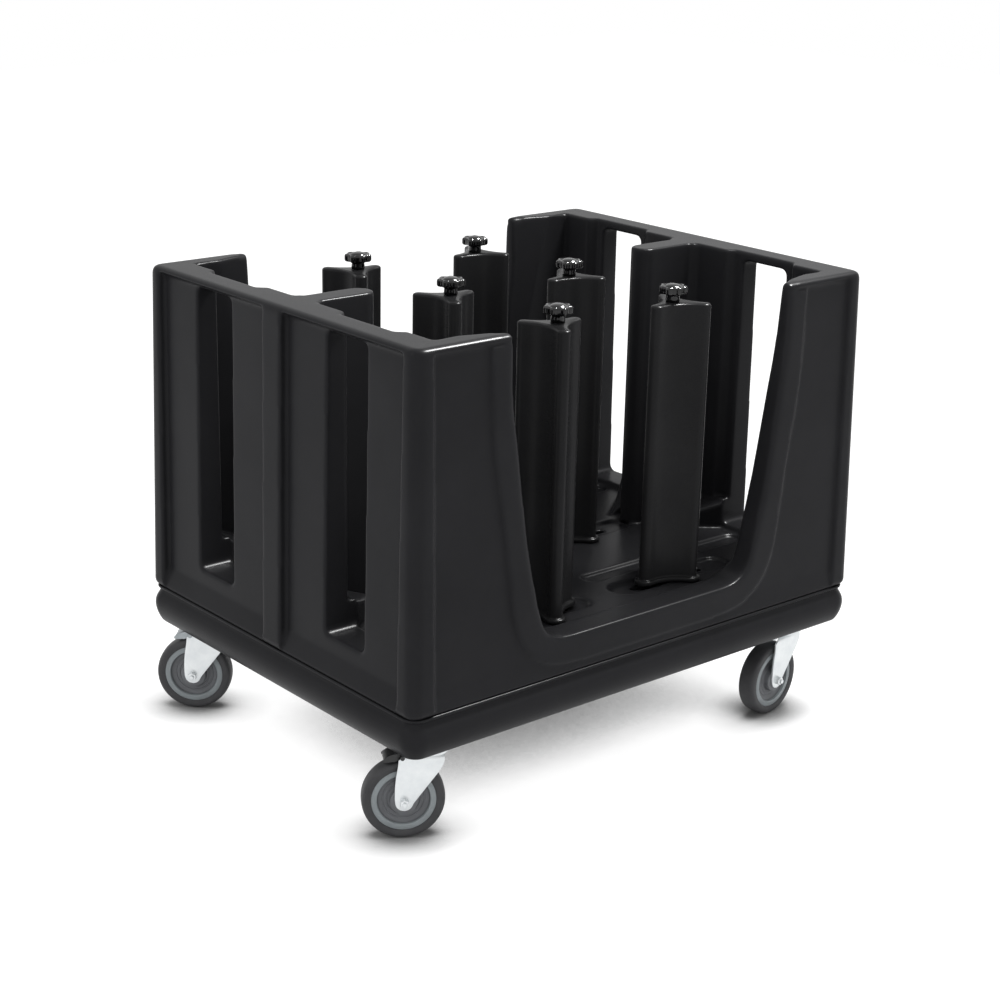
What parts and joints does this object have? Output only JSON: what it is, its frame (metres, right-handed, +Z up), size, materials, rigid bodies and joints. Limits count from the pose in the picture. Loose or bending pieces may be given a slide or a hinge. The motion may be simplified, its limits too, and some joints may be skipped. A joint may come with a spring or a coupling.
{
  "type": "dish cart",
  "caption": "Deep rectangular dish cart with U-shaped openings front and back, slotted end walls, sliding clamped towers with star knobs, and swivel casters.",
  "frame": {"origin": "on the ground under the middle of the cart, midway between its outermost points", "axes": "+X along the long side towards the end without brakes, +Y from the front opening to the back, +Z up"},
  "size_m": [0.9614, 0.7358, 0.772],
  "materials": {
    "body_plastic": "moulded polyethylene, faint grain",
    "tower_plastic": "moulded, semi matt",
    "knob_plastic": "glossy black",
    "tyre_rubber": "dark grey, smooth tread",
    "wheel_grey": "grey, semi matt",
    "zinc": "bright zinc plated",
    "pedal_black": "black coated",
    "pedal_zinc": "dull zinc plated"
  },
  "bodies": {
    "cart": {"base_moulding": "body_plastic", "floor_deck": "body_plastic", "floor_wedges": "body_plastic", "end_wall_left": "body_plastic", "end_wall_right": "body_plastic", "fin_left": "body_plastic", "fin_right": "body_plastic", "panel_front": "body_plastic", "panel_back": "body_plastic", "caster_inserts": "zinc", "caster_bolts": "zinc", "kingpins": "zinc", "race_rings": "zinc", "caster_plate_lf": "zinc", "caster_plate_rf": "zinc", "caster_plate_lb": "zinc", "caster_plate_rb": "zinc"},
    "tower_lf": {"tower_lf": "tower_plastic"},
    "clamp_screw_lf": {"knob_lf": "knob_plastic", "rod_lf": "zinc"},
    "clamp_plate_lf": {"clamp_lf": "zinc"},
    "tower_lm": {"tower_lm": "tower_plastic"},
    "clamp_screw_lm": {"knob_lm": "knob_plastic", "rod_lm": "zinc"},
    "clamp_plate_lm": {"clamp_lm": "zinc"},
    "tower_lb": {"tower_lb": "tower_plastic"},
    "clamp_screw_lb": {"knob_lb": "knob_plastic", "rod_lb": "zinc"},
    "clamp_plate_lb": {"clamp_lb": "zinc"},
    "tower_rf": {"tower_rf": "tower_plastic"},
    "clamp_screw_rf": {"knob_rf": "knob_plastic", "rod_rf": "zinc"},
    "clamp_plate_rf": {"clamp_rf": "zinc"},
    "tower_rm": {"tower_rm": "tower_plastic"},
    "clamp_screw_rm": {"knob_rm": "knob_plastic", "rod_rm": "zinc"},
    "clamp_plate_rm": {"clamp_rm": "zinc"},
    "tower_rb": {"tower_rb": "tower_plastic"},
    "clamp_screw_rb": {"knob_rb": "knob_plastic", "rod_rb": "zinc"},
    "clamp_plate_rb": {"clamp_rb": "zinc"},
    "swivel_lf": {"fork_lf": "zinc", "axle_lf": "zinc"},
    "wheel_lf": {"wheel_core_lf": "wheel_grey", "tyre_lf": "tyre_rubber"},
    "pedal_lf": {"brake_lf": "pedal_black"},
    "swivel_rf": {"fork_rf": "zinc", "axle_rf": "zinc"},
    "wheel_rf": {"wheel_core_rf": "wheel_grey", "tyre_rf": "tyre_rubber"},
    "swivel_lb": {"fork_lb": "zinc", "axle_lb": "zinc"},
    "wheel_lb": {"wheel_core_lb": "wheel_grey", "tyre_lb": "tyre_rubber"},
    "pedal_lb": {"brake_lb": "pedal_zinc"},
    "swivel_rb": {"fork_rb": "zinc", "axle_rb": "zinc"},
    "wheel_rb": {"wheel_core_rb": "wheel_grey", "tyre_rb": "tyre_rubber"}
  },
  "joints": [
    {"name": "tower_slide_lf", "type": "slide", "parent": "cart", "child": "tower_lf", "axis": [1, 0, 0], "range_m": [-0.117, 0.033]},
    {"name": "knob_turn_lf", "type": "hinge", "parent": "tower_lf", "child": "clamp_screw_lf", "pos_m": [-0.108, -0.24, 0.763], "axis": [0, 0, 1], "range_deg": [0, 720]},
    {"name": "plate_drop_lf", "type": "slide", "parent": "tower_lf", "child": "clamp_plate_lf", "axis": [0, 0, -1], "range_m": [0, 0.00305]},
    {"name": "tower_slide_lm", "type": "slide", "parent": "cart", "child": "tower_lm", "axis": [1, 0, 0], "range_m": [-0.103, 0.047]},
    {"name": "knob_turn_lm", "type": "hinge", "parent": "tower_lm", "child": "clamp_screw_lm", "pos_m": [-0.122, 0, 0.763], "axis": [0, 0, 1], "range_deg": [0, 720]},
    {"name": "plate_drop_lm", "type": "slide", "parent": "tower_lm", "child": "clamp_plate_lm", "axis": [0, 0, -1], "range_m": [0, 0.00305]},
    {"name": "tower_slide_lb", "type": "slide", "parent": "cart", "child": "tower_lb", "axis": [1, 0, 0], "range_m": [-0.097, 0.053]},
    {"name": "knob_turn_lb", "type": "hinge", "parent": "tower_lb", "child": "clamp_screw_lb", "pos_m": [-0.128, 0.24, 0.763], "axis": [0, 0, 1], "range_deg": [0, 720]},
    {"name": "plate_drop_lb", "type": "slide", "parent": "tower_lb", "child": "clamp_plate_lb", "axis": [0, 0, -1], "range_m": [0, 0.00305]},
    {"name": "tower_slide_rf", "type": "slide", "parent": "cart", "child": "tower_rf", "axis": [1, 0, 0], "range_m": [-0.059, 0.091]},
    {"name": "knob_turn_rf", "type": "hinge", "parent": "tower_rf", "child": "clamp_screw_rf", "pos_m": [0.134, -0.24, 0.763], "axis": [0, 0, 1], "range_deg": [0, 720]},
    {"name": "plate_drop_rf", "type": "slide", "parent": "tower_rf", "child": "clamp_plate_rf", "axis": [0, 0, -1], "range_m": [0, 0.00305]},
    {"name": "tower_slide_rm", "type": "slide", "parent": "cart", "child": "tower_rm", "axis": [1, 0, 0], "range_m": [-0.055, 0.095]},
    {"name": "knob_turn_rm", "type": "hinge", "parent": "tower_rm", "child": "clamp_screw_rm", "pos_m": [0.13, 0, 0.763], "axis": [0, 0, 1], "range_deg": [0, 720]},
    {"name": "plate_drop_rm", "type": "slide", "parent": "tower_rm", "child": "clamp_plate_rm", "axis": [0, 0, -1], "range_m": [0, 0.00305]},
    {"name": "tower_slide_rb", "type": "slide", "parent": "cart", "child": "tower_rb", "axis": [1, 0, 0], "range_m": [-0.049, 0.101]},
    {"name": "knob_turn_rb", "type": "hinge", "parent": "tower_rb", "child": "clamp_screw_rb", "pos_m": [0.124, 0.24, 0.763], "axis": [0, 0, 1], "range_deg": [0, 720]},
    {"name": "plate_drop_rb", "type": "slide", "parent": "tower_rb", "child": "clamp_plate_rb", "axis": [0, 0, -1], "range_m": [0, 0.00305]},
    {"name": "swivel_turn_lf", "type": "hinge", "parent": "cart", "child": "swivel_lf", "pos_m": [-0.389, -0.293, 0.14], "axis": [0, 0, 1], "continuous": true},
    {"name": "wheel_spin_lf", "type": "hinge", "parent": "swivel_lf", "child": "wheel_lf", "pos_m": [-0.42123, -0.27286, 0.0635], "axis": [-0.5299, -0.848, 0], "continuous": true},
    {"name": "brake_pedal_lf", "type": "hinge", "parent": "swivel_lf", "child": "pedal_lf", "pos_m": [-0.42377, -0.27127, 0.1355], "axis": [-0.5299, -0.848, 0], "range_deg": [-10, 0]},
    {"name": "swivel_turn_rf", "type": "hinge", "parent": "cart", "child": "swivel_rf", "pos_m": [0.389, -0.293, 0.14], "axis": [0, 0, 1], "continuous": true},
    {"name": "wheel_spin_rf", "type": "hinge", "parent": "swivel_rf", "child": "wheel_rf", "pos_m": [0.35128, -0.29763, 0.0635], "axis": [0.1219, -0.9925, 0], "continuous": true},
    {"name": "swivel_turn_lb", "type": "hinge", "parent": "cart", "child": "swivel_lb", "pos_m": [-0.389, 0.293, 0.14], "axis": [0, 0, 1], "continuous": true},
    {"name": "wheel_spin_lb", "type": "hinge", "parent": "swivel_lb", "child": "wheel_lb", "pos_m": [-0.41634, 0.3194, 0.0635], "axis": [-0.6947, -0.7193, 0], "continuous": true},
    {"name": "brake_pedal_lb", "type": "hinge", "parent": "swivel_lb", "child": "pedal_lb", "pos_m": [-0.41849, 0.32148, 0.1355], "axis": [-0.6947, -0.7193, 0], "range_deg": [-10, 0]},
    {"name": "swivel_turn_rb", "type": "hinge", "parent": "cart", "child": "swivel_rb", "pos_m": [0.389, 0.293, 0.14], "axis": [0, 0, 1], "continuous": true},
    {"name": "wheel_spin_rb", "type": "hinge", "parent": "swivel_rb", "child": "wheel_rb", "pos_m": [0.42123, 0.31314, 0.0635], "axis": [-0.5299, 0.848, 0], "continuous": true}
  ],
  "couplings": [
    {"joint": "plate_drop_lf", "follows": "knob_turn_lf", "m_per_rad": 0.00023873},
    {"joint": "plate_drop_lm", "follows": "knob_turn_lm", "m_per_rad": 0.00023873},
    {"joint": "plate_drop_lb", "follows": "knob_turn_lb", "m_per_rad": 0.00023873},
    {"joint": "plate_drop_rf", "follows": "knob_turn_rf", "m_per_rad": 0.00023873},
    {"joint": "plate_drop_rm", "follows": "knob_turn_rm", "m_per_rad": 0.00023873},
    {"joint": "plate_drop_rb", "follows": "knob_turn_rb", "m_per_rad": 0.00023873}
  ]
}
